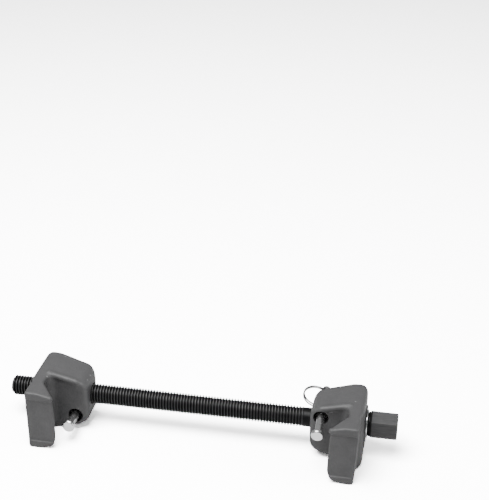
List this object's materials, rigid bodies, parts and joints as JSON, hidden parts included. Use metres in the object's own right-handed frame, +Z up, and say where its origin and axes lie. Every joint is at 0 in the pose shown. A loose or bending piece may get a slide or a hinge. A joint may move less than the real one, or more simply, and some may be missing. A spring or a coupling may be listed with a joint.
{
  "type": "coil spring compressor",
  "caption": "Screw-type spring compressor: a hex-headed forcing screw joins two hooked jaws, each with a tilted slide-in lock pin and pull ring.",
  "frame": {"origin": "on the surface the tool lies on, under the middle of its bounding box", "axes": "+X along the screw towards its hex head; -Y the way both jaw fingers reach; +Z up"},
  "size_m": [0.3048, 0.083, 0.049],
  "materials": {
    "black_oxide_steel": "oiled black oxide, bright where the thread crests and hex edges rub",
    "forged_grey": "blasted and grey-phosphated forging, satin",
    "bright_zinc": "bright zinc plate",
    "black_washer": "hardened, black",
    "spring_wire": "nickel-plated round wire",
    "polished_steel": "ground ball and spring steel"
  },
  "bodies": {
    "plain_jaw_body": {"plain_jaw": "forged_grey"},
    "load_washer_body": {"load_washer": "black_washer"},
    "thrust_washer_body": {"thrust_washer": "bright_zinc"},
    "screw_body": {"forcing_screw": "black_oxide_steel"},
    "threaded_jaw_body": {"threaded_jaw": "forged_grey"},
    "plain_pin_body": {"plain_jaw_lock_pin": "bright_zinc", "plain_jaw_detent_spring": "polished_steel"},
    "plain_ring_body": {"plain_jaw_pin_ring": "spring_wire"},
    "plain_ball_body": {"plain_jaw_detent_ball": "polished_steel"},
    "threaded_pin_body": {"threaded_jaw_lock_pin": "bright_zinc", "threaded_jaw_detent_spring": "polished_steel"},
    "threaded_ring_body": {"threaded_jaw_pin_ring": "spring_wire"},
    "threaded_ball_body": {"threaded_jaw_detent_ball": "polished_steel"}
  },
  "joints": [
    {"name": "plain_jaw_float", "type": "slide", "parent": "plain_jaw_body", "child": "load_washer_body", "axis": [1, 0, 0], "range_m": [0, 0.012]},
    {"name": "jaw_swivel", "type": "hinge", "parent": "load_washer_body", "child": "thrust_washer_body", "pos_m": [0.1293, 0.00297, 0.0245], "axis": [1, 0, 0], "continuous": true},
    {"name": "screw_turn", "type": "hinge", "parent": "thrust_washer_body", "child": "screw_body", "pos_m": [0.14, 0.00297, 0.0245], "axis": [-1, 0, 0], "range_deg": [-3119, 18398]},
    {"name": "threaded_jaw_travel", "type": "slide", "parent": "thrust_washer_body", "child": "threaded_jaw_body", "axis": [1, 0, 0], "range_m": [-0.02, 0.118]},
    {"name": "plain_pin_slide", "type": "slide", "parent": "plain_jaw_body", "child": "plain_pin_body", "axis": [0, 0.9962, 0.0872], "range_m": [0, 0.021]},
    {"name": "plain_ring_swing", "type": "hinge", "parent": "plain_pin_body", "child": "plain_ring_body", "pos_m": [0.0958, 0.01865, 0.03888], "axis": [0.7071, 0.0616, -0.7044], "range_deg": [-10, 100]},
    {"name": "plain_detent", "type": "slide", "parent": "plain_pin_body", "child": "plain_ball_body", "axis": [0, -0.0872, 0.9962], "range_m": [-0.0006, 0], "stiffness_N_per_m": 400, "springref_m": 0.001, "deforming": ["plain_jaw_detent_spring"]},
    {"name": "threaded_pin_slide", "type": "slide", "parent": "threaded_jaw_body", "child": "threaded_pin_body", "axis": [0, 0.9962, -0.0872], "range_m": [-0.003, 0.018]},
    {"name": "threaded_ring_swing", "type": "hinge", "parent": "threaded_pin_body", "child": "threaded_ring_body", "pos_m": [-0.097, 0.02164, 0.00985], "axis": [1, 0, 0], "range_deg": [-55, 80]},
    {"name": "threaded_detent", "type": "slide", "parent": "threaded_pin_body", "child": "threaded_ball_body", "axis": [0, -0.0872, -0.9962], "range_m": [-0.0006, 0], "stiffness_N_per_m": 400, "springref_m": 0.001, "deforming": ["threaded_jaw_detent_spring"]}
  ],
  "couplings": [
    {"joint": "screw_turn", "follows": "threaded_jaw_travel", "rad_per_m": 2721.1}
  ]
}
